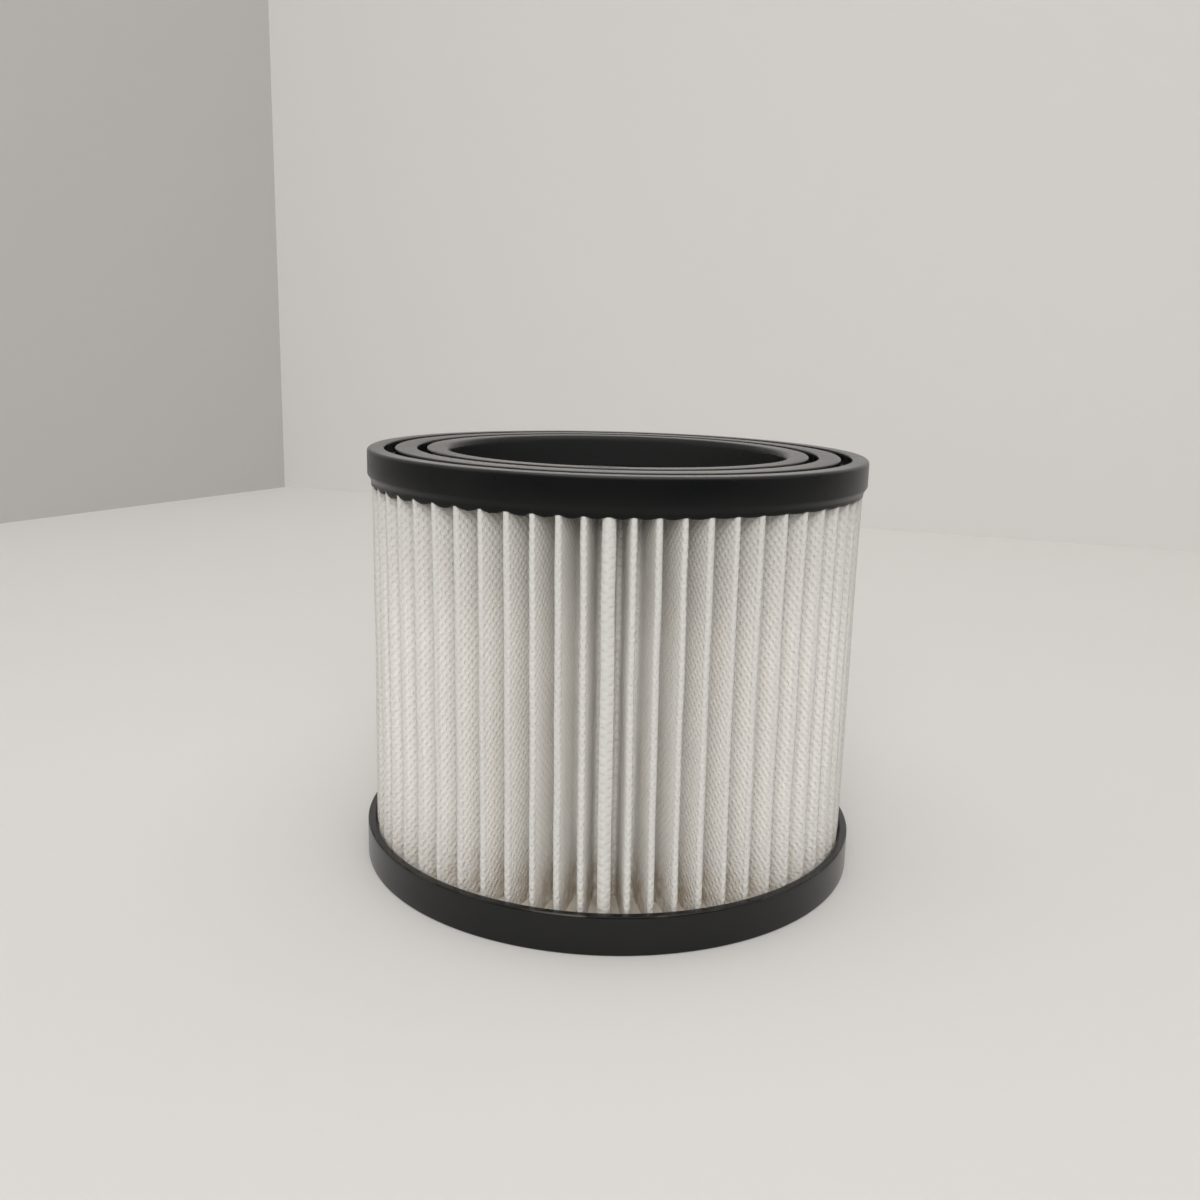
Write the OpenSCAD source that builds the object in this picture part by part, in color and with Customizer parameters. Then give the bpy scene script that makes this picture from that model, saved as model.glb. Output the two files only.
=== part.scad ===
// Pleated cartridge filter for an ash vacuum.
// A strip of pleated filter cloth stands between a soft open end ring and a closed dish.
// The origin is at the middle of the flat base, and +Z points up to the sealing face.

/* [Overall] */
// Height from the flat base to the sealing face
filter_h = 118; // [90:1:160]

/* [Top end ring] */
// Outer diameter of the ring
ring_d = 140; // [139:0.5:156]
// Diameter of the opening
opening_d = 95; // [88:0.5:96]
// Height of the ring from its flat underside to the sealing face
ring_h = 9.7; // [9:0.1:14]
// Width of the outer sealing land
outer_land_w = 4.6; // [3:0.1:5.2]
// Width of the outer groove
outer_groove_w = 3; // [2:0.1:3.6]
// Width of the inner groove
inner_groove_w = 2.7; // [2:0.1:3.3]
// Depth of both grooves
groove_depth = 3.5; // [2:0.1:4.2]
// Radius of the edges of the lands
land_edge_r = 0.4; // [0.2:0.05:0.6]
// Radius of the top edge of the outer wall
outer_edge_r = 0.9; // [0.3:0.1:1.5]
// Radius that rounds the sealing face into the opening
opening_edge_r = 1.8; // [1:0.1:2.2]
// Height of the straight skirt under the taper
skirt_h = 1.1; // [0.5:0.1:2]
// Height of the taper between the outer wall and the skirt
taper_h = 1.6; // [0.8:0.1:3]
// How far the skirt stands outside the pleat tips
skirt_cover = 0.25; // [0.1:0.05:0.5]
// Deepest sag of the moulding between two pleats
sag_most = 1.3; // [0.6:0.1:2]
// Shallowest sag of the moulding between two pleats
sag_least = 0.4; // [0.2:0.1:0.6]
// Compass angle of the deepest sag, seen from above
sag_angle = 215; // [0:5:355]
// Width of the strip along each pleat's crest that the sags leave bare
crest_w = 1.6; // [1:0.1:2.6]
// How far the pleat ends are cast into the ring
cast_in = 3.5; // [2:0.1:4.5]

/* [Pleated media] */
// Number of pleats
pleats = 62; // [48:1:66]
// Diameter over the pleat tips
pleat_d = 137.5; // [134:0.5:139]
// Thickness of the filter cloth
media_t = 0.7; // [0.4:0.05:0.9]
// Outer radius of the fold at a pleat tip
tip_r = 1.65; // [1.4:0.05:1.8]
// Radius of the open side of the fold between two pleats
valley_r = 0.85; // [0.5:0.05:0.9]
// How far the seam draws its neighbours in, in degrees
seam_pull = 4.5; // [0:0.5:5]
// Reach of that pull to either side of the seam, in degrees
seam_reach = 15; // [15:1:40]
// How far the pleats drift round from an even spacing at most, in degrees
bunching = 7; // [0:0.5:8]
// Compass angle of the seam, seen from above
seam_angle = 269; // [0:1:359]

/* [Support core] */
// How far the core's inner wall stands back from the opening
core_set_back = 2.1; // [1.5:0.1:4]
// Wall thickness of the core
core_wall = 1.8; // [1.2:0.1:2.2]
// Gap between the core and the inner folds of the pleats
core_gap = 0.35; // [0.2:0.05:0.8]
// Number of windows around the core
core_columns = 18; // [12:2:24]
// Number of rows of windows
core_rows = 6; // [4:1:8]
// Width of the upright bars between the windows
core_bar_w = 4.2; // [3:0.1:6]
// Height of the hoops between the windows
core_hoop_h = 3; // [2:0.1:5]
// How far the core is cast into the ring
core_cast_in = 2.5; // [1.5:0.1:4]

/* [Bottom dish] */
// Height of the dish's rim above the base
dish_h = 10.5; // [9:0.1:14]
// Thickness of the dish's floor
dish_floor = 2.5; // [2:0.1:4]
// Thickness of the dish's rim
rim_w = 2.2; // [1.5:0.1:3]
// Gap between the rim and the pleat tips
rim_gap = 0.5; // [0.3:0.05:1]
// Radius that rounds the edges of the rim
rim_edge_r = 0.5; // [0.2:0.05:0.8]
// Thickness of the collar that keeps the adhesive out of the middle
collar_w = 2; // [1.5:0.1:3]
// Gap between the collar and the core
collar_gap = 0.4; // [0.2:0.05:0.8]
// Depth of the shallow recess under the dish
base_recess = 0.8; // [0.4:0.1:1.2]
// Width of the ring that the dish stands on
base_ring_w = 9; // [5:0.5:15]

/* [Adhesive] */
// How far the adhesive stays below the top of the rim
adhesive_low = 1.2; // [0.6:0.1:2.5]
// Adhesive under the ends of the pleats
adhesive_bed = 0.6; // [0.3:0.1:1]

/* [Hidden] */
// Overshoot of a cut past the solid that it cuts, and overlap of what is joined
over = 1;
round_fn = 180;
edge_steps = 3;
tip_steps = 8;
valley_steps = 4;
sag_steps = 6;

// Radii of the ring, from the outside in; the two inner lands share what the rest leaves
ring_r = ring_d / 2;
opening_r = opening_d / 2;
inner_land_w = (ring_r - opening_r - outer_land_w - outer_groove_w - inner_groove_w) / 2;
outer_groove_out_r = ring_r - outer_land_w;
outer_groove_in_r = outer_groove_out_r - outer_groove_w;
inner_groove_out_r = outer_groove_in_r - inner_land_w;
inner_groove_in_r = inner_groove_out_r - inner_groove_w;

// Heights of the ring
ring_under = filter_h - ring_h;
groove_floor = filter_h - groove_depth;
skirt_top = ring_under + skirt_h;
taper_top = skirt_top + taper_h;

// The core stands back from the opening
core_in_r = opening_r + core_set_back;
core_r = core_in_r + core_wall;

// The pleats stand on the core: arcs about a tip centre and a valley centre, joined by flanks
pleat_r = pleat_d / 2;
pleat_in_r = core_r + core_gap;
skirt_r = pleat_r + skirt_cover;
tip_centre_r = pleat_r - tip_r;
valley_centre_r = pleat_in_r + media_t + valley_r;
fold_sum = tip_r + valley_r;
media_low = dish_floor + adhesive_bed;
media_top = ring_under + cast_in;
core_top = ring_under + core_cast_in;

// The dish and its adhesive
channel_r = pleat_r + rim_gap;
dish_r = channel_r + rim_w;
collar_r = core_in_r - collar_gap;
collar_in_r = collar_r - collar_w;
base_recess_r = dish_r - base_ring_w;
adhesive_top = dish_h - adhesive_low;

// The windows of the core fill the height between the adhesive and the ring
window_low = adhesive_top + core_hoop_h;
window_pitch = (ring_under - window_low) / core_rows;
window_h = window_pitch - core_hoop_h;
window_w = 2 * PI * core_r / core_columns - core_bar_w;

// Points on an arc about a centre, from one angle to another
function arc(centre, r, from, to, steps) =
    [for (k = [0 : steps]) let (a = from + (to - from) * k / steps) centre + r * [cos(a), sin(a)]];

// A pull towards the seam that is strong beside it and fades out on the far side
function tanh_of(x) = 1 - 2 / (exp(2 * x) + 1);
function from_seam(i) = 360 * i / pleats;
function pulled(a) = a - seam_pull * (tanh_of(a / seam_reach) - a / 180) - bunching * (1 - cos(a)) / 2;

// Compass angle of pleat number i, counted from the seam to either side
first_pleat = -floor(pleats / 2);
function tip_angle(i) = let (turn = floor((i - first_pleat) / pleats))
    seam_angle + 360 * turn + pulled(from_seam(i - turn * pleats));
function valley_angle(i) = (tip_angle(i) + tip_angle(i + 1)) / 2;
function at(r, a) = r * [cos(a), sin(a)];

// Slope of the flank between two fold centres that stand a half pitch apart
function half_pitch(i) = (tip_angle(i + 1) - tip_angle(i)) / 2;
function to_valley(i) = at(valley_centre_r, half_pitch(i)) - [tip_centre_r, 0];
function flank_angle(i) = let (v = to_valley(i)) atan2(v[1], v[0]) - acos(fold_sum / norm(v));

// One side of the cloth: out is 0 on the open side and the cloth's thickness on the core's side
function pleat_points(i, out) = concat(
    arc(at(tip_centre_r, tip_angle(i)), tip_r - out,
        tip_angle(i) - flank_angle(i - 1), tip_angle(i) + flank_angle(i), tip_steps),
    arc(at(valley_centre_r, valley_angle(i)), valley_r + out,
        tip_angle(i) + flank_angle(i) + 180, tip_angle(i + 1) - flank_angle(i) + 180, valley_steps)
);
function cloth_side(out) =
    [for (i = [first_pleat : first_pleat + pleats - 1]) each pleat_points(i, out)];

module cloth_outline() {
    open_side = cloth_side(0);
    core_side = cloth_side(media_t);
    count = len(open_side);
    polygon(
        points = concat(open_side, core_side),
        paths = [[for (k = [0 : count - 1]) k], [for (k = [0 : count - 1]) count + k]]
    );
}

module cloth() {
    translate([0, 0, media_low])
        linear_extrude(media_top - media_low) cloth_outline();
}

module tube(out_r, in_r, low, high) {
    translate([0, 0, low])
        difference() {
            cylinder(r = out_r, h = high - low, $fn = round_fn);
            translate([0, 0, -over]) cylinder(r = in_r, h = high - low + 2 * over, $fn = round_fn);
        }
}

module core_tube() {
    tube(core_r, core_in_r, media_low, core_top);
}

// Section of the ring: skirt, outer wall, three lands with two grooves, and the opening
function out_edge(r, edge_r) = arc([r - edge_r, filter_h - edge_r], edge_r, 0, 90, edge_steps);
function in_edge(r, edge_r) = arc([r + edge_r, filter_h - edge_r], edge_r, 90, 180, edge_steps);
module ring_section() {
    polygon(concat(
        [[opening_r, ring_under], [skirt_r, ring_under], [skirt_r, skirt_top], [ring_r, taper_top]],
        out_edge(ring_r, outer_edge_r),
        in_edge(outer_groove_out_r, land_edge_r),
        [[outer_groove_out_r, groove_floor], [outer_groove_in_r, groove_floor]],
        out_edge(outer_groove_in_r, land_edge_r),
        in_edge(inner_groove_out_r, land_edge_r),
        [[inner_groove_out_r, groove_floor], [inner_groove_in_r, groove_floor]],
        out_edge(inner_groove_in_r, land_edge_r),
        in_edge(opening_r, opening_edge_r)
    ));
}

// The moulding sags as a shallow arc in each valley, from the crest of one pleat to the next
sag_reach = 4;
sag_inset = 0.05;
function sag_depth(a) = sag_least + (sag_most - sag_least) * pow((1 + cos(a - sag_angle)) / 2, 2);
module sag(i) {
    half_w = tip_centre_r * sin(half_pitch(i)) - crest_w / 2;
    depth = min(sag_depth(valley_angle(i)), half_w);
    arc_r = (pow(half_w, 2) + pow(depth, 2)) / (2 * depth);
    half_turn = asin(half_w / arc_r);
    sag_r = sqrt(pow(skirt_r, 2) - pow(half_w, 2)) - sag_inset;
    rotate([0, 0, valley_angle(i)])
        translate([sag_r - sag_reach, 0, ring_under])
            rotate([90, 0, 90])
                linear_extrude(sag_reach)
                    polygon(concat(
                        [[half_w, over], [-half_w, over]],
                        arc([0, arc_r - depth], arc_r, 270 - half_turn, 270 + half_turn, sag_steps)
                    ));
}

// The sags lie on the open side of the cloth, so none of them is inside a fold
module sags() {
    difference() {
        for (i = [first_pleat : first_pleat + pleats - 1]) sag(i);
        translate([0, 0, ring_under - sag_most - over])
            linear_extrude(sag_most + 3 * over) polygon(cloth_side(media_t));
    }
}

module top_end_ring() {
    color([0.13, 0.13, 0.13])
        difference() {
            union() {
                rotate_extrude($fn = round_fn) ring_section();
                sags();
            }
            cloth();
            core_tube();
        }
}

module pleated_media() {
    color([0.9, 0.89, 0.86]) cloth();
}

// A lattice tube that keeps the pleats from being drawn in
module support_core() {
    color([0.16, 0.16, 0.17])
        difference() {
            core_tube();
            for (row = [0 : core_rows - 1], column = [0 : core_columns / 2 - 1])
                rotate([0, 0, (column + 0.5) * 360 / core_columns])
                    translate([-core_r - over, -window_w / 2, window_low + row * window_pitch])
                        cube([2 * (core_r + over), window_w, window_h]);
        }
}

// Section of the dish: a floor with a recessed underside, a rounded rim and a collar
module dish_section() {
    polygon(concat(
        [[0, base_recess], [base_recess_r, base_recess], [base_recess_r + base_recess, 0]],
        arc([dish_r - rim_edge_r, rim_edge_r], rim_edge_r, -90, 0, edge_steps),
        arc([dish_r - rim_edge_r, dish_h - rim_edge_r], rim_edge_r, 0, 90, edge_steps),
        [[channel_r, dish_h], [channel_r, dish_floor], [collar_r, dish_floor], [collar_r, dish_h]],
        [[collar_in_r, dish_h], [collar_in_r, dish_floor], [0, dish_floor]]
    ));
}
module bottom_dish() {
    color([0.12, 0.12, 0.12]) rotate_extrude($fn = round_fn) dish_section();
}

// Adhesive that fills the channel of the dish around the feet of the pleats and the core
module potting_adhesive() {
    color([0.62, 0.5, 0.34])
        difference() {
            tube(channel_r, collar_r, dish_floor, adhesive_top);
            cloth();
            core_tube();
        }
}

top_end_ring();
pleated_media();
support_core();
bottom_dish();
potting_adhesive();
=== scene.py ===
import math

import bmesh
import bpy
from mathutils import Matrix, Vector, noise


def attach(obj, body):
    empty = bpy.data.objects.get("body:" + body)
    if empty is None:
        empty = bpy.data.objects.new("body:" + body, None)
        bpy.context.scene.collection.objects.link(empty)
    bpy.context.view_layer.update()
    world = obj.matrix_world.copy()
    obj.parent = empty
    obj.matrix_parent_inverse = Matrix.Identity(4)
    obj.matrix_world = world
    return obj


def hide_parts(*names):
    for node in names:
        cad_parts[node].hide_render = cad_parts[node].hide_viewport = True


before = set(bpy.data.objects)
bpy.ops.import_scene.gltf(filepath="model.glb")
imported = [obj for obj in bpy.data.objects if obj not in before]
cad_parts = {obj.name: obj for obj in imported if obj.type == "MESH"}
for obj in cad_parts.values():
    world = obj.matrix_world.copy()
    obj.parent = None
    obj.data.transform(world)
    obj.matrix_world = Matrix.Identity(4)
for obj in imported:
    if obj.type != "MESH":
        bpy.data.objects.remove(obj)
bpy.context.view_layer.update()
mm = 0.001
degree = math.pi / 180
print("frame loaded:", ", ".join(sorted(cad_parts)))


# One socket of a node tree; the operators on it add Math nodes
class Wire:
    def __init__(self, tree, socket=None):
        self.tree = tree
        self.socket = socket

    # Any node: its settings come first, then the values or links of its sockets
    def add(self, kind, settings=None, sockets=None, out=0):
        node = self.tree.nodes.new(kind)
        for name, value in (settings or {}).items():
            if name == "stops":
                points = node.color_ramp.elements
                while len(points) < len(value):
                    points.new(1)
                for point, (place, colour) in zip(points, value):
                    point.position, point.color = place, colour
            else:
                setattr(node, name, value)
        for name, value in (sockets or {}).items():
            if isinstance(value, Wire):
                self.tree.links.new(value.socket, node.inputs[name])
            else:
                node.inputs[name].default_value = value
        return Wire(self.tree, node.outputs[out])

    def maths(self, operation, *terms):
        return self.add("ShaderNodeMath", {"operation": operation}, dict(enumerate(terms)))

    # The same with this wire as the first value
    def of(self, operation, *others):
        return self.maths(operation, self, *others)

    def __add__(self, other):
        return self.of("ADD", other)

    __radd__ = __add__

    def __sub__(self, other):
        return self.of("SUBTRACT", other)

    def __rsub__(self, other):
        return self.maths("SUBTRACT", other, self)

    def __mul__(self, other):
        return self.of("MULTIPLY", other)

    __rmul__ = __mul__

    def __truediv__(self, other):
        return self.of("DIVIDE", other)

    def __rtruediv__(self, other):
        return self.maths("DIVIDE", other, self)

    def __pow__(self, other):
        return self.of("POWER", other)

    def __gt__(self, other):
        return self.of("GREATER_THAN", other)

    def __lt__(self, other):
        return self.of("LESS_THAN", other)

    def held(self):
        return self.of("MAXIMUM", 0).of("MINIMUM", 1)

    # 0 below low, 1 above high, and a smooth step between them
    def step(self, low, high):
        return self.add("ShaderNodeMapRange", {"interpolation_type": "SMOOTHSTEP"},
                        {0: self, 1: low, 2: high, 3: 0, 4: 1})

    def parts(self):
        split = self.add("ShaderNodeSeparateXYZ", {}, {0: self})
        return [Wire(self.tree, socket) for socket in split.socket.node.outputs]

    def point(self, x, y, z=0):
        return self.add("ShaderNodeCombineXYZ", {}, {0: x, 1: y, 2: z})

    # Noise from 0 to 1 about 0.5
    def grain(self, vector, scale, detail=2, size="3D"):
        return self.add("ShaderNodeTexNoise", {"noise_dimensions": size},
                        {"Vector": vector, "Scale": scale, "Detail": detail})

    def blend(self, share, first, second):
        return self.add("ShaderNodeMix", {"data_type": "RGBA"}, {0: share, 6: first, 7: second}, 2)

    def bump(self, height, strength, distance, under=None):
        sockets = {"Height": height, "Strength": strength, "Distance": distance}
        if under:
            sockets["Normal"] = under
        return self.add("ShaderNodeBump", {}, sockets)


def grey(level, warmth=0.0):
    return (level * (1 + warmth), level, level * (1 - warmth), 1)


# A material with its constants on the shader's own sockets; returns it, an entry wire and the shader
def newMaterial(name, shown, constants):
    material = bpy.data.materials.new(name)
    material.use_nodes = True
    material.diffuse_color = shown
    shader = material.node_tree.nodes["Principled BSDF"]
    for socket, value in constants.items():
        shader.inputs[socket].default_value = value
    return material, Wire(material.node_tree), shader


def feed(shader, **wires):
    names = {"colour": "Base Color", "roughness": "Roughness", "normal": "Normal", "coat": "Coat Weight"}
    for name, wire in wires.items():
        wire.tree.links.new(wire.socket, shader.inputs[names[name]])


# The place on the object, then x, y, z and the distance from the axis in mm
def objectPlace(entry):
    place = entry.add("ShaderNodeTexCoord", {}, {}, 3)
    x, y, z = (part / mm for part in place.parts())
    return place, x, y, z, (x * x + y * y).of("SQRT")


clothFinish = {
    # painted shade: the crests are given a darker colour than the panels
    "crest": (0.62, 0.61, 0.585, 1),
    "panel": (0.865, 0.844, 0.803, 1),
    # painted light: the cloth down in the folds is made lighter, standing in for light that reaches into them
    "foldLight": (0.975, 0.958, 0.92, 1),       # the cloth down in the folds
    "pit": (0.66, 0.64, 0.60, 1),
    "tan": (0.56, 0.46, 0.34, 1),
    "embossAcross": 2.42,     # mm from one pit to the next in a row
    "embossUp": 2.35,         # mm between rows of one column
    "pitDepth": 0.17,         # mm
}


def clothMaterial(look):
    material, entry, shader = newMaterial("filter cloth", look["crest"], {
        "Roughness": 0.92, "Specular IOR Level": 0.2})
    flat = entry.add("ShaderNodeAttribute", {"attribute_name": "clothMap"}, {}, 1)
    along, up, _ = flat.parts()
    place, x, y, z, radius = objectPlace(entry)

    # The emboss: pits on a diamond lattice, a little uneven, with pillows between them
    warp = entry.grain(flat, 0.35, 2, "2D") - 0.5
    turn = 2 * math.pi
    across = (along / look["embossAcross"] + warp * 0.22) * turn
    upward = (up / look["embossUp"] - warp * 0.2) * turn
    lattice = (across.of("COSINE") * 1.6).of("TANH") * upward.of("COSINE")
    uneven = entry.grain(flat, 0.9, 1, "2D")
    pit = lattice.step(-0.3, 0.9) * (0.5 + uneven)
    fibres = entry.grain(entry.point(along, up * 3.0), 2.2, 3, "2D")

    # Crushed cloth over the foot, and a tan tint there that is partly a stain and partly painted warm shade, strongest
    # down in the folds
    foot = 1 - z.step(12, 34)
    crush = entry.grain(flat, 0.85, 2, "2D")
    inFold = 1 - radius.step(60.0, 68.2)
    stainAndWarmShade = (1 - z.step(9.5, 22)) * (0.25 + inFold * 0.6) * entry.grain(flat, 0.3, 2, "2D").step(0.25, 0.7)

    # Painted light and shade: the cloth is lighter down in the folds and darker on the crests
    inside = entry.blend(radius.step(56, 65), look["foldLight"], look["panel"])
    foldsLitCrestsShaded = entry.blend(radius.step(67.2, 68.6), inside, look["crest"])
    soiled = entry.blend(entry.grain(flat, 0.16, 3, "2D").step(0.3, 0.75) * 0.2, foldsLitCrestsShaded, grey(0.70, 0.045))
    # Painted shade: the cloth is a little greyer towards both ends, under the ring and near the foot
    ends = z.step(70, 98) + (1 - z.step(14, 38)) * 0.5
    endShade = entry.blend(ends * 0.38, soiled, grey(0.60, 0.03))
    pitted = entry.blend(pit * 0.12, endShade, look["pit"])
    mottled = entry.blend(foot * crush.step(0.48, 0.68) * 0.35, pitted, look["pit"])
    low = entry.bump(pit * -1, 0.8, look["pitDepth"] * mm)
    torn = entry.bump(crush * foot, 0.5, 0.5 * mm, low)
    feed(shader, colour=entry.blend(stainAndWarmShade, mottled, look["tan"]),
         normal=entry.bump(fibres, 0.3, 0.06 * mm, torn))
    return material


# The lighter of these colours is a painted sheen for the tops of the lands
ringFinish = {"black": (0.006, 0.0065, 0.0066, 1), "paintedHighlight": (0.055, 0.053, 0.051, 1), "dust": (0.32, 0.31, 0.29, 1)}


def ringMaterial(look):
    material, entry, shader = newMaterial("soft black moulding", look["black"], {
        "Specular IOR Level": 0.14, "Coat Roughness": 0.2})
    place, x, y, z, radius = objectPlace(entry)
    cloudy = entry.grain(place, 38, 3)
    fine = entry.grain(place, 900, 2)
    onTop = z.step(117.0, 117.9)
    # Bright specks of dust, one here and there
    cells = entry.add("ShaderNodeTexVoronoi", {"feature": "F1"}, {"Vector": place, "Scale": 130})
    picked = cells.add("ShaderNodeTexVoronoi", {"feature": "F1"}, {"Vector": place, "Scale": 130}, 1).parts()[0]
    speck = (1 - cells.step(0.02, 0.055)) * (picked > 0.93)
    atFront = 1 - y.step(-55, -20)
    # Painted sheen: the tops of the lands are lighter, most at the front
    paintedSheen = onTop * (0.2 + 0.4 * cloudy.step(0.35, 0.7)) * (0.3 + 0.7 * atFront)
    inOpening = (1 - radius.step(48.0, 48.6)) * (1 - onTop)
    black = entry.blend(cloudy.step(0.4, 0.75) * 0.5, look["black"], grey(0.009))
    sheenAndOpening = entry.blend(inOpening * 0.85, entry.blend(paintedSheen * 0.55, black, look["paintedHighlight"]), grey(0.026))
    feed(shader, colour=entry.blend(speck * 0.6, sheenAndOpening, look["dust"]),
         roughness=0.23 + 0.1 * cloudy, coat=onTop * (0.25 + 0.35 * atFront),
         normal=entry.bump(cloudy, 0.18, 0.5 * mm, entry.bump(fine, 0.12, 0.05 * mm)))
    return material


# The edge colour is a painted highlight on the lip
dishFinish = {"black": (0.002, 0.0023, 0.0023, 1), "edge": (0.11, 0.108, 0.10, 1)}


def dishMaterial(look):
    material, entry, shader = newMaterial("dish moulding", look["black"], {"Specular IOR Level": 0.42})
    place, x, y, z, radius = objectPlace(entry)
    cloudy = entry.grain(place, 30, 3)
    fine = entry.grain(place, 700, 2)
    # Painted highlight: the outer edge of the lip is lighter in patches, mostly at the front
    lip = z.step(10.05, 10.4) * radius.step(70.6, 71.2)
    atFront = (1 - x.of("ABSOLUTE").step(6, 24)) * (y < 0)
    paintedHighlight = lip * entry.grain(place, 120, 3).step(0.42, 0.62) * (0.25 + 0.75 * atFront)
    black = entry.blend(cloudy.step(0.4, 0.75) * 0.4, look["black"], grey(0.006))
    feed(shader, colour=entry.blend(paintedHighlight * 0.8, black, look["edge"]),
         roughness=0.17 + 0.1 * cloudy,
         normal=entry.bump(cloudy, 0.15, 0.6 * mm, entry.bump(fine, 0.08, 0.05 * mm)))
    return material


coreFinish = {"black": (0.014, 0.014, 0.015, 1)}


def coreMaterial(look):
    material, entry, shader = newMaterial("black plastic", look["black"], {"Specular IOR Level": 0.5})
    place = objectPlace(entry)[0]
    cloudy = entry.grain(place, 60, 3)
    feed(shader, colour=entry.blend(cloudy, look["black"], grey(0.024)),
         roughness=0.32 + 0.16 * cloudy,
         normal=entry.bump(entry.grain(place, 600, 2), 0.1, 0.08 * mm))
    return material


adhesiveFinish = {"pale": (0.80, 0.765, 0.70, 1), "tan": (0.66, 0.60, 0.51, 1), "brown": (0.30, 0.22, 0.14, 1)}


def adhesiveMaterial(look):
    material, entry, shader = newMaterial("tan adhesive", look["tan"], {"Specular IOR Level": 0.35})
    place, x, y, z, radius = objectPlace(entry)
    cloudy = entry.grain(place, 90, 3)
    inFolds = entry.blend(cloudy.step(0.3, 0.7) * 0.7, look["pale"], look["tan"])
    feed(shader, colour=entry.blend(radius.step(67.2, 68.6) * 0.8, inFolds, look["brown"]),
         roughness=0.42 + 0.2 * cloudy,
         normal=entry.bump(entry.grain(place, 260, 2), 0.3, 0.4 * mm))
    return material


def newObject(name, mesh):
    thing = bpy.data.objects.new(name, mesh)
    bpy.context.collection.objects.link(thing)
    return thing


# A Geometry Nodes tree with one named input for each size
def newTree(name, sizes):
    tree = bpy.data.node_groups.new(name, "GeometryNodeTree")
    tree.interface.new_socket("Geometry", in_out="OUTPUT", socket_type="NodeSocketGeometry")
    kinds = {int: "NodeSocketInt", float: "NodeSocketFloat", bpy.types.Object: "NodeSocketObject"}
    for label, value in sizes.items():
        tree.interface.new_socket(label, in_out="INPUT", socket_type=kinds[type(value)])
    entry = tree.nodes.new("NodeGroupInput")
    return Wire(tree), {label: Wire(tree, entry.outputs[label]) for label in sizes}


# Runs a tree on its sizes and keeps the result as a plain mesh
def runTree(name, geometry, sizes, material):
    whole = geometry.add("GeometryNodeRealizeInstances", {}, {"Geometry": geometry})
    painted = geometry.add("GeometryNodeSetMaterial", {}, {"Geometry": whole, "Material": material})
    leave = geometry.tree.nodes.new("NodeGroupOutput")
    geometry.tree.links.new(painted.socket, leave.inputs[0])
    thing = newObject(name, bpy.data.meshes.new(name))
    modifier = thing.modifiers.new(name, "NODES")
    modifier.node_group = geometry.tree
    for item in geometry.tree.interface.items_tree:
        if item.in_out == "INPUT":
            modifier[item.identifier] = sizes[item.name]
    bpy.context.view_layer.update()
    shape = bpy.data.meshes.new_from_object(thing.evaluated_get(bpy.context.evaluated_depsgraph_get()))
    thing.modifiers.clear()
    thing.data = shape
    shape.name = name
    shape.shade_smooth()
    return thing


# Turns a closed section round the axis; place(row, column) gives radius and height in mm
def turned(name, rows, azimuths, place, material, poles=False, sharp=35):
    count = len(azimuths)
    verts, faces = [], []
    for row in range(rows):
        for column, angle in enumerate(azimuths):
            radius, height = place(row, column)
            verts.append((radius * math.cos(angle) * mm, radius * math.sin(angle) * mm, height * mm))
    for row in range(rows - 1 if poles else rows):
        after = (row + 1) % rows
        for column in range(count):
            beside = (column + 1) % count
            faces.append((row * count + column, row * count + beside, after * count + beside, after * count + column))
    mesh = bpy.data.meshes.new(name)
    mesh.from_pydata(verts, [], faces)
    form = bmesh.new()
    form.from_mesh(mesh)
    bmesh.ops.remove_doubles(form, verts=form.verts, dist=1e-6)
    bmesh.ops.recalc_face_normals(form, faces=form.faces)
    form.to_mesh(mesh)
    form.free()
    mesh.materials.append(material)
    mesh.shade_smooth()
    mesh.set_sharp_from_angle(angle=sharp * degree)
    return newObject(name, mesh)


def arc(centreR, centreZ, radius, start, end, steps):
    angles = [(start + (end - start) * k / steps) * degree for k in range(steps + 1)]
    return [(centreR + radius * math.cos(a), centreZ + radius * math.sin(a)) for a in angles]


def keep(piece, node):
    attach(piece, "root")
    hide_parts(node)
    print(f"{piece.name}: {len(piece.data.polygons)} faces")


eye = {
    "place": (0, -328.01 * mm, 146.61 * mm),
    "pan": -0.683,      # degrees, towards +X
    "down": 12.496,
    "roll": 1.496,
    "lens": 34.43,      # mm on a 36 mm sensor
}


def makeCamera(look):
    pan, down, roll = (look[k] * degree for k in ("pan", "down", "roll"))
    ahead = Vector((math.sin(pan) * math.cos(down), math.cos(pan) * math.cos(down), -math.sin(down)))
    right = Vector((math.cos(pan), -math.sin(pan), 0))
    top = right.cross(ahead)
    across = math.cos(roll) * right + math.sin(roll) * top
    upward = math.cos(roll) * top - math.sin(roll) * right
    data = bpy.data.cameras.new("camera")
    data.sensor_width, data.lens = 36, look["lens"]
    data.clip_start, data.clip_end = 0.01, 20
    camera = bpy.data.objects.new("camera", data)
    bpy.context.collection.objects.link(camera)
    turn = Matrix((across, upward, -ahead)).transposed().to_4x4()
    camera.matrix_world = Matrix.Translation(look["place"]) @ turn
    bpy.context.scene.camera = camera


room = {
    "floor": (0.79, 0.775, 0.75, 1),
    "wall": (0.70, 0.682, 0.664, 1),
    # painted shade: the walls are given a darker colour higher up
    "high": (0.60, 0.59, 0.575, 1),       # the walls higher up
    "side": (0.57, 0.56, 0.55, 1),
    "corner": (-0.333, 0.816),
    "wallTurn": -17.3,       # degrees; the back wall isn't square to the camera
    "sideTurn": 242.0,
    "glossFront": -0.30,     # m; beyond it the floor is dim in reflections
    "top": {"place": (0.05, -0.2, 1.5), "size": 1.8, "power": 7.4, "gloss": True},
    "front": {"place": (-0.03, -1.33, 0.82), "size": 0.9, "power": 9.5, "gloss": False},
    "sky": 0.80,
    "around": 0.12,          # share of the sky's light that comes from all round
    "ahead": 2.3,            # and from the front
}


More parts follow.
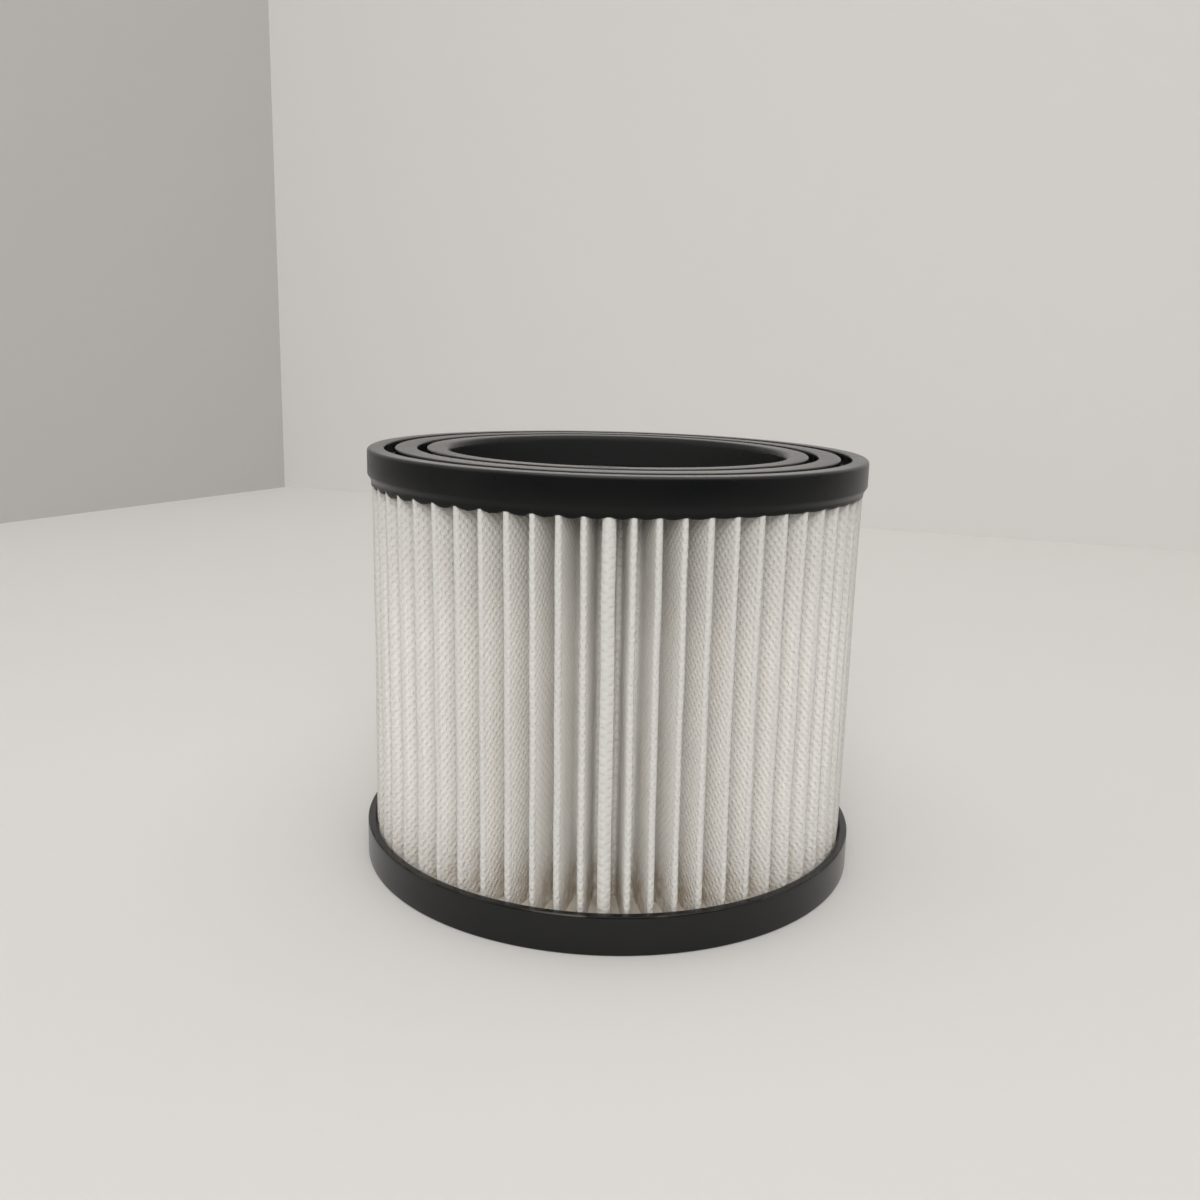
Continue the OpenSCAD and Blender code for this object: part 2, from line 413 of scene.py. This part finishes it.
def makeRoom(look):
    def panel(name, corners, colour, high=None):
        mesh = bpy.data.meshes.new(name)
        mesh.from_pydata(corners, [], [(0, 1, 2, 3)])
        material, entry, shader = newMaterial(name, colour, {"Roughness": 0.85, "Specular IOR Level": 0.1})
        y, z = (part * mm for part in objectPlace(entry)[2:4])
        # Painted shade: the walls darken higher up
        if high:
            feed(shader, colour=entry.blend(z.step(0.1, 1.3), colour, high))
        else:
            glossy = entry.add("ShaderNodeLightPath", {}, {}, 3)
            dim = (1 - y.step(look["glossFront"] - 0.3, look["glossFront"])) * glossy
            feed(shader, colour=entry.blend(dim, colour, grey(0.08)))
        mesh.materials.append(material)
        newObject(name, mesh)

    def along(turn, length):
        x, y = look["corner"]
        return x + length * math.cos(turn * degree), y + length * math.sin(turn * degree)

    back, side, corner = along(look["wallTurn"], 4.0), along(look["sideTurn"], 3.0), look["corner"]
    panel("floor", [(-4, -4, 0), (4, -4, 0), (4, 1.6, 0), (-4, 1.6, 0)], look["floor"])
    panel("back wall", [(*corner, 0), (*back, 0), (*back, 2.4), (*corner, 2.4)], look["wall"], look["high"])
    panel("side wall", [(*side, 0), (*corner, 0), (*corner, 2.4), (*side, 2.4)], look["side"], look["side"])
    for name in ("top", "front"):
        spec = look[name]
        light = bpy.data.lights.new(name, "AREA")
        light.shape, light.size, light.energy = "DISK", spec["size"], spec["power"]
        light.color = (1.0, 0.995, 0.985)
        lamp = bpy.data.objects.new(name, light)
        bpy.context.collection.objects.link(lamp)
        aim = Vector((0, 0, 0.06)) - Vector(spec["place"])
        lamp.rotation_euler = aim.to_track_quat("-Z", "Y").to_euler()
        lamp.location = spec["place"]
        lamp.visible_glossy = spec["gloss"]
    world = bpy.data.worlds.new("room")
    bpy.context.scene.world = world
    world.use_nodes = True
    entry = Wire(world.node_tree)
    toCamera = entry.add("ShaderNodeLightPath", {}, {}, 0)
    glossy = entry.add("ShaderNodeLightPath", {}, {}, 3)
    x, y, z = entry.add("ShaderNodeTexCoord", {}, {}, 0).parts()
    # The sky lights mostly from the front; in reflections it is bright to the sides and dim in front
    ahead = (1 - x.of("ABSOLUTE").step(0.0, 0.8)) * (1 - y.step(-0.95, 0.0))
    lighting = look["around"] + look["ahead"] * ahead
    mirrored = (0.35 + 0.65 * x.of("ABSOLUTE")) * (1 - 0.85 * (1 - y.step(-0.75, -0.1)))
    level = lighting + (mirrored - lighting) * glossy
    lit = entry.blend(level, grey(0), (look["sky"], look["sky"] * 0.99, look["sky"] * 0.98, 1))
    colour = entry.blend(toCamera, lit, look["wall"])
    world.node_tree.links.new(colour.socket, world.node_tree.nodes["Background"].inputs["Color"])


bpy.context.scene.view_settings.view_transform = "Standard"
makeCamera(eye)
makeRoom(room)
print("camera, floor and light set")


# Sizes of the pleats in mm and degrees, as the solid has them; the last ones are the cloth's own unevenness
cloth = {
    "pleats": 62,
    "crest radius": 68.75,
    "inner fold radius": 51.75,
    "thickness": 0.7,
    "tip radius": 0.88,
    "seam tip radius": 1.7,
    "valley radius": 0.65,
    "seam pull": 4.46,      # how far the seam draws its neighbours in
    "seam reach": 26.5,     # and how far to either side
    "bunching": 5.5,        # how far the back's pleats have drifted round
    "seam angle": 268.75,
    "foot": 3.1,
    "top": 111.8,
    "ring underside": 108.3,
    "strip length": 2140.0,
    "lean": 1.1,            # degrees from the ring to the foot
    "wander": 0.35,         # degrees that a crest wanders
    "swell": 0.3,           # mm that a crest stands in or out
    "waviness": 0.25,       # mm that a flank bows to either side
    "unlike tips": 0.1,     # share by which the tips' radii differ
    "pinch": 0.08,          # share that a tip loses under the ring
    "pinch height": 7.0,
    "steps round a tip": 9,
    "steps round a valley": 3,
    "steps down a flank": 4,
    "rows outside": 44,
    "rows inside": 10,
    "seed": 3,
}


def pleatedCloth(sizes, material):
    entry, given = newTree("pleats", sizes)
    pleats, tipSteps, flankSteps = (given[k] for k in ("pleats", "steps round a tip", "steps down a flank"))
    valleySteps, rowsOut, rowsIn = (given[k] for k in ("steps round a valley", "rows outside", "rows inside"))
    perPleat = tipSteps + valleySteps + 2 * flankSteps
    wide, high = pleats * perPleat, rowsOut + rowsIn
    grid = entry.add("GeometryNodeMeshGrid", {}, {0: wide, 1: high, 2: wide + 1, 3: high + 1})
    x, y, _ = entry.add("GeometryNodeInputPosition").parts()
    column = (x + wide / 2).of("ROUND")
    row = (y + high / 2).of("ROUND")
    row = row - high * (row > high - 0.5)
    number = ((column + 0.01) / perPleat).of("FLOOR")
    step = column - number * perPleat
    first = (pleats / 2).of("FLOOR") * -1
    i = number + first

    # Height: rows up the open side, then down the core's side, closer together at both ends
    inside = row > rowsOut - 0.5
    share = (1 - inside) * (row / (rowsOut - 1)) + inside * (1 - (row - rowsOut) / (rowsIn - 1))
    share = share - (share * (2 * math.pi)).of("SINE") * (0.55 / (2 * math.pi))
    z = given["foot"] + (given["top"] - given["foot"]) * share
    under = given["ring underside"] - z
    free = (z - given["foot"]).step(9, 32) * under.step(1, 24)
    pinched = 1 - given["pinch"] * (1 - under.step(0, given["pinch height"])) ** 1.5
    out = given["thickness"] * inside

    def chance(index, salt, pitch):
        spot = entry.point(index * 3.17 + salt + given["seed"] * 11.3, z / pitch + salt)
        return entry.grain(spot, 1, 1, "2D") * 2 - 1

    # Angle of a tip, how far its fold's centre is from the axis, and the fold's radius
    def tip(at):
        turn = ((at - first + 0.01) / pleats).of("FLOOR")
        own = at - turn * pleats
        away = own * (360 / pleats)
        pull = away / given["seam reach"]
        pulled = (away - given["seam pull"] * pull * (pull * pull * -0.5).of("EXPONENT")
                  - given["bunching"] * (1 - (away * degree).of("COSINE")) / 2)
        leaning = given["lean"] * (under / (given["ring underside"] - given["foot"]))
        wandering = chance(own, 5.0, 26) * given["wander"] * 0.5 * free
        angle = (given["seam angle"] + turn * 360 + pulled + leaning + wandering) * degree
        crest = given["crest radius"] + (chance(own, 17.0, 40) - 0.4) * given["swell"] * free
        atSeam = own.of("ABSOLUTE") < 0.5
        radius = given["tip radius"] + (given["seam tip radius"] - given["tip radius"]) * atSeam
        radius = radius * (1 + chance(own, 29.0, 60) * given["unlike tips"]) * pinched
        radius = radius.of("MAXIMUM", given["thickness"] + 0.08)
        return angle, crest - radius, radius

    valleyAt = given["inner fold radius"] + given["thickness"] + given["valley radius"]

    # Slope of the flank from a tip to the valley half a pitch beside it
    def flank(tipOf, half):
        angle, centre, radius = tipOf
        toX = valleyAt * half.of("COSINE") - centre
        toY = valleyAt * half.of("SINE")
        closing = (radius + given["valley radius"]) / (toX * toX + toY * toY).of("SQRT")
        return toY.of("ARCTAN2", toX) - closing.of("ARCCOSINE")

    def turnedAt(centre, angle, radius, facing):
        return (centre * angle.of("COSINE") + radius * facing.of("COSINE"),
                centre * angle.of("SINE") + radius * facing.of("SINE"))

    before, here, after = tip(i - 1), tip(i), tip(i + 1)
    halfBefore, half = (here[0] - before[0]) / 2, (after[0] - here[0]) / 2
    leftFlank, rightFlank, nextFlank = flank(here, halfBefore), flank(here, half), flank(after, half)
    roundTip = (step / tipSteps).held()
    down = ((step - tipSteps) / flankSteps).held()
    roundValley = ((step - tipSteps - flankSteps) / valleySteps).held()
    upAgain = ((step - tipSteps - flankSteps - valleySteps) / flankSteps).held()
    tipPoint = turnedAt(here[1], here[0], here[2] - out, here[0] - leftFlank + (leftFlank + rightFlank) * roundTip)
    start, end = here[0] + rightFlank + math.pi, after[0] - nextFlank + math.pi
    valleyPoint = turnedAt(valleyAt, here[0] + half, given["valley radius"] + out, start + (end - start) * roundValley)
    nextPoint = turnedAt(after[1], after[0], after[2] - out, after[0] - nextFlank)
    flat = []
    for a, b, c in zip(tipPoint, valleyPoint, nextPoint):
        ab = a + (b - a) * down
        flat.append(ab + (c - ab) * upAgain)

    # Each flank bows a little to one side or the other, more in some places than in others
    first, second = chance(i, 41.0, 30), chance(i, 53.0, 34)
    bow = ((down * math.pi).of("SINE") * first + (upAgain * math.pi).of("SINE") * second) * given["waviness"] * free
    sideways = here[0] + half + math.pi / 2
    flat = [(flat[0] + bow * sideways.of("COSINE")) * mm, (flat[1] + bow * sideways.of("SINE")) * mm]

    # The cloth's own coordinates, in mm along the strip and up it
    perStrip = given["strip length"] / pleats
    tipArc, valleyArc = given["tip radius"] * math.pi, given["valley radius"] * math.pi
    flankLength = (perStrip - tipArc - valleyArc) / 2
    along = number * perStrip + tipArc * roundTip + flankLength * (down + upAgain) + valleyArc * roundValley
    mapped = entry.add("GeometryNodeStoreNamedAttribute", {"data_type": "FLOAT2", "domain": "CORNER"},
                       {"Geometry": grid, "Name": "clothMap", "Value": entry.point(along, z)})
    folded = entry.add("GeometryNodeSetPosition", {}, {"Geometry": mapped, "Position": entry.point(*flat, z * mm)})
    closed = entry.add("GeometryNodeMergeByDistance", {}, {"Geometry": folded, "Distance": 1e-6})
    return runTree("filter_cloth", closed, sizes, material)


clothPiece = pleatedCloth(cloth, clothMaterial(clothFinish))
keep(clothPiece, "pleated_media")


# Compass angle of a pleat's crest under the ring
def tipAngle(i):
    turn = math.floor((i + cloth["pleats"] // 2) / cloth["pleats"])
    away = (i - turn * cloth["pleats"]) * 360 / cloth["pleats"]
    pull = away / cloth["seam reach"]
    drawn = cloth["seam pull"] * pull * math.exp(-pull * pull / 2)
    bunched = cloth["bunching"] * (1 - math.cos(away * degree)) / 2
    return cloth["seam angle"] + 360 * turn + away - drawn - bunched


topRing = {
    "outerR": 70.0, "openingR": 47.5, "topZ": 118.0, "grooveFloorZ": 114.5,
    "outerGroove": (65.4, 62.4), "innerGroove": (56.35, 53.65),
    "outerEdge": 0.9, "landEdge": 0.4, "openingEdge": 1.8,
    "underZ": 108.3, "skirtR": 69.0, "skirtTopZ": 109.4, "taperTopZ": 111.0,
    "crestHalf": 0.7,        # half of the strip that the sags leave bare at a crest
    "sagMost": 0.85, "sagLeast": 0.15, "sagAngle": 215.0,
    "perPleat": 16,
    "flashAngle": 266.0, "flashWidth": 7.0, "flashHeight": 0.3,
}


def makeRing(look, material):
    top, edge, under = look["topZ"], look["landEdge"], look["underZ"]
    section = [(look["openingR"], under + 0.3), (look["openingR"] + 0.3, under), (63.6, under), (64.6, under)]
    sagRows = (len(section), len(section) + 4)      # these rows hang down with the sags
    section += [(65.6, under), (68.3, under), (68.75, under + 0.08), (68.95, under + 0.3)]
    section += [(look["skirtR"], under + 0.7), (look["skirtR"], look["skirtTopZ"] - 0.1)]
    section += [(look["skirtR"] + 0.08, look["skirtTopZ"] + 0.12), (69.55, 110.3)]
    section += [(look["outerR"] - 0.05, look["taperTopZ"] - 0.08), (look["outerR"], look["taperTopZ"] + 0.15)]
    section += [(look["outerR"], 114.0)]
    section += arc(look["outerR"] - look["outerEdge"], top - look["outerEdge"], look["outerEdge"], 0, 90, 6)
    for outer, inner in (look["outerGroove"], look["innerGroove"]):
        section += arc(outer + edge, top - edge, edge, 90, 180, 4)
        section += [(outer, look["grooveFloorZ"] + 0.3), (outer - 0.3, look["grooveFloorZ"])]
        section += [(inner + 0.3, look["grooveFloorZ"]), (inner, look["grooveFloorZ"] + 0.3)]
        section += arc(inner - edge, top - edge, edge, 0, 90, 4)
    flashRow = len(section) + 2
    section += arc(look["openingR"] + look["openingEdge"], top - look["openingEdge"], look["openingEdge"], 90, 180, 8)
    section += [(look["openingR"], 114.0)]

    half = cloth["pleats"] // 2
    azimuths, sags = [], []
    for i in range(-half, cloth["pleats"] - half):
        here, after = tipAngle(i), tipAngle(i + 1)
        pitch = (after - here) * degree * look["skirtR"]
        for k in range(look["perPleat"]):
            share = k / look["perPleat"]
            angle = here + (after - here) * share
            azimuths.append(angle * degree)
            towards = ((1 + math.cos((angle - look["sagAngle"]) * degree)) / 2) ** 4
            depth = look["sagLeast"] + (look["sagMost"] - look["sagLeast"]) * towards
            depth = depth * (1 + 0.5 * noise.noise(Vector((i * 1.73, 4.1, 0))))
            lean = 0.35 * noise.noise(Vector((i * 2.31, 9.7, 0)))
            side = (share * 2 - 1) / (1 - 2 * look["crestHalf"] / pitch)
            side = side + lean * (1 - side * side)
            hang = depth * (1 - side * side) if abs(side) < 1 else -0.06
            ragged = 0.28 * towards * noise.noise(Vector((angle * 1.9, 0, 2.0)))
            sags.append(hang + (ragged if abs(side) < 1.3 else 0))

    def place(row, column):
        radius, height = section[row]
        if sagRows[0] <= row < sagRows[1]:
            height -= sags[column]
        elif row == sagRows[1]:
            height -= sags[column] * 0.5
        angle = azimuths[column] / degree
        # A little flash stands on the rim of the opening at the front
        off = (angle - look["flashAngle"] + 180) % 360 - 180
        if abs(off) < look["flashWidth"] and abs(row - flashRow) < 2:
            fade = 1 - (off / look["flashWidth"]) ** 2
            height += look["flashHeight"] * fade * (0.5 + noise.noise(Vector((angle * 1.7, 1.0, 0))))
        wave = noise.noise(Vector((math.cos(azimuths[column]) * 3, math.sin(azimuths[column]) * 3, height / 9)))
        return radius + 0.05 * wave, height + (0.04 * wave if height > 117 else 0)

    return turned("top_ring", len(section), azimuths, place, material)


ringPiece = makeRing(topRing, ringMaterial(ringFinish))
keep(ringPiece, "top_end_ring")


dish = {
    "outerR": 71.45, "channelR": 69.25, "topZ": 10.5, "floorZ": 2.5, "edge": 0.5,
    "collarR": 49.2, "collarInR": 47.2, "recessZ": 0.8, "recessR": 62.45, "columns": 420,
}


def makeDish(look, material):
    edge, top, floor = look["edge"], look["topZ"], look["floorZ"]
    section = [(0, look["recessZ"]), (20, look["recessZ"]), (look["recessR"] - 0.2, look["recessZ"])]
    section += [(look["recessR"] + 0.05, look["recessZ"] - 0.12), (look["recessR"] + 0.7, 0.1)]
    section += [(look["recessR"] + 1.0, 0), (67, 0)]
    section += arc(look["outerR"] - edge, edge, edge, -90, 0, 5)
    section += [(look["outerR"], 3.0), (look["outerR"], 6.0), (look["outerR"], 8.5)]
    lipRow = len(section)
    section += arc(look["outerR"] - edge, top - edge, edge, 0, 90, 6)
    section += arc(look["channelR"] + 0.25, top - 0.25, 0.25, 90, 180, 3)
    section += [(look["channelR"], 6), (look["channelR"], floor + 0.4), (look["channelR"] - 0.4, floor)]
    section += [(look["collarR"] + 0.4, floor), (look["collarR"], floor + 0.4), (look["collarR"], 9)]
    section += arc(look["collarR"] - 0.4, top - 0.4, 0.4, 0, 90, 4)
    section += arc(look["collarInR"] + 0.4, top - 0.4, 0.4, 90, 180, 4)
    section += [(look["collarInR"], 5), (look["collarInR"], floor + 0.6), (look["collarInR"] - 0.18, floor + 0.18)]
    section += [(look["collarInR"] - 0.6, floor), (30, floor), (0, floor)]
    azimuths = [2 * math.pi * k / look["columns"] for k in range(look["columns"])]

    def place(row, column):
        radius, height = section[row]
        c, s = math.cos(azimuths[column]), math.sin(azimuths[column])
        if lipRow <= row < lipRow + 7:
            rough = noise.noise(Vector((c * 34, s * 34, 3.0)))
            return radius - 0.05 * abs(rough), height - 0.04 * abs(rough)
        return radius, height

    return turned("dish", len(section), azimuths, place, material, poles=True)


dishPiece = makeDish(dish, dishMaterial(dishFinish))
keep(dishPiece, "bottom_dish")


core = {
    "outerR": 51.4, "wall": 1.8, "lowZ": 3.1, "topZ": 110.8, "columns": 18, "rows": 6,
    "barW": 4.2, "hoopH": 3.0, "windowLowZ": 12.3, "windowPitch": 16.0, "cornerR": 1.6,
    "across": 8, "up": 6, "bevel": 0.35,
}


# A lattice sheet is laid out flat, wrapped round the axis and given its wall
def makeCore(look, material):
    cellW = 2 * math.pi * look["outerR"] / look["columns"]
    windowW, windowH = cellW - look["barW"], look["windowPitch"] - look["hoopH"]
    across, up = look["across"], look["up"]
    verts, faces = [], []

    # Points round a rectangle; those near a corner move onto its round
    def loopOf(w, h, corner):
        points = []
        for side, count in enumerate((across, up, across, up)):
            for k in range(count):
                t = k / count - 0.5
                x, y = ((t * w, -h / 2), (w / 2, t * h), (-t * w, h / 2), (-w / 2, -t * h))[side]
                dx, dy = abs(x) - (w / 2 - corner), abs(y) - (h / 2 - corner)
                if corner and dx > 0 and dy > 0:
                    far = math.hypot(dx, dy)
                    x = math.copysign(w / 2 - corner + dx * corner / far, x)
                    y = math.copysign(h / 2 - corner + dy * corner / far, y)
                points.append((x, y))
        return points

    outerLoop, innerLoop = loopOf(cellW, look["windowPitch"], 0), loopOf(windowW, windowH, look["cornerR"])
    count = len(outerLoop)
    for column in range(look["columns"]):
        for row in range(look["rows"]):
            middleX = column * cellW
            middleZ = look["windowLowZ"] + row * look["windowPitch"] + windowH / 2
            base = len(verts)
            verts += [(middleX + x, middleZ + y) for x, y in outerLoop + innerLoop]
            faces += [(base + k, base + (k + 1) % count, base + count + (k + 1) % count, base + count + k)
                      for k in range(count)]
        # Plain bands below and above the windows
        edgeLow = look["windowLowZ"] - look["hoopH"] / 2
        edgeHigh = edgeLow + look["rows"] * look["windowPitch"]
        for low, high in ((look["lowZ"], edgeLow), (edgeHigh, look["topZ"])):
            for k in range(across):
                base = len(verts)
                x0, x1 = (column * cellW + (t / across - 0.5) * cellW for t in (k, k + 1))
                verts += [(x0, low), (x1, low), (x1, high), (x0, high)]
                faces.append((base, base + 1, base + 2, base + 3))
    mesh = bpy.data.meshes.new("core_lattice")
    wrapped = []
    for x, z in verts:
        angle = x / look["outerR"]
        wrapped.append((look["outerR"] * math.cos(angle) * mm, look["outerR"] * math.sin(angle) * mm, z * mm))
    mesh.from_pydata(wrapped, [], faces)
    form = bmesh.new()
    form.from_mesh(mesh)
    bmesh.ops.remove_doubles(form, verts=form.verts, dist=5e-6)
    bmesh.ops.recalc_face_normals(form, faces=form.faces)
    form.to_mesh(mesh)
    form.free()
    mesh.materials.append(material)
    piece = newObject("core_lattice", mesh)
    solid = piece.modifiers.new("wall", "SOLIDIFY")
    solid.thickness, solid.offset = look["wall"] * mm, -1
    soft = piece.modifiers.new("edges", "BEVEL")
    soft.width, soft.segments, soft.limit_method, soft.angle_limit = look["bevel"] * mm, 2, "ANGLE", 40 * degree
    bpy.context.view_layer.update()
    shape = bpy.data.meshes.new_from_object(piece.evaluated_get(bpy.context.evaluated_depsgraph_get()))
    piece.modifiers.clear()
    piece.data = shape
    shape.name = "core_lattice"
    shape.shade_smooth()
    shape.set_sharp_from_angle(angle=40 * degree)
    return piece


corePiece = makeCore(core, coreMaterial(coreFinish))
keep(corePiece, "support_core")


# The adhesive lies in the dish's channel and climbs a little up whatever stands in it
adhesive = {
    "inner radius": 49.2,
    "outer radius": 69.25,
    "floor": 2.5,
    "level": 6.2,
    "climb": 0.7,
    "climb reach": 0.8,
    "unevenness": 0.35,
    "columns": 930,
    "rows": 26,
    "cloth": clothPiece,
}


def makeAdhesive(sizes, material):
    entry, given = newTree("adhesive", sizes)
    columns, rows = given["columns"], given["rows"]
    high = rows + 2
    grid = entry.add("GeometryNodeMeshGrid", {}, {0: columns, 1: high, 2: columns + 1, 3: high + 1})
    x, y, _ = entry.add("GeometryNodeInputPosition").parts()
    angle = (x / columns + 0.5) * (2 * math.pi)
    row = (y + high / 2).of("ROUND")
    row = row - high * (row > high - 0.5)
    onTop = row < rows - 0.5
    across = onTop * (row / (rows - 1)) + (1 - onTop) * (row < rows + 0.5)
    radius = (given["inner radius"] + (given["outer radius"] - given["inner radius"]) * across) * mm
    z = (given["floor"] + (given["level"] - given["floor"]) * onTop) * mm
    spot = entry.point(radius * angle.of("COSINE"), radius * angle.of("SINE"), z)
    laid = entry.add("GeometryNodeSetPosition", {}, {"Geometry": grid, "Position": spot})
    wall = entry.add("GeometryNodeObjectInfo", {}, {0: given["cloth"]}, 4)
    near = entry.add("GeometryNodeProximity", {"target_element": "FACES"}, {0: wall}, 1)
    climbing = (near / (given["climb reach"] * mm) * -1).of("EXPONENT") * given["climb"]
    lumps = (entry.grain(entry.add("GeometryNodeInputPosition"), 140, 2) - 0.5) * given["unevenness"]
    rise = entry.point(0, 0, (climbing + lumps) * onTop * mm)
    risen = entry.add("GeometryNodeSetPosition", {}, {"Geometry": laid, "Offset": rise})
    closed = entry.add("GeometryNodeMergeByDistance", {}, {"Geometry": risen, "Distance": 1e-6})
    return runTree("adhesive", closed, sizes, material)


adhesivePiece = makeAdhesive(adhesive, adhesiveMaterial(adhesiveFinish))
keep(adhesivePiece, "potting_adhesive")

print("all pieces made")
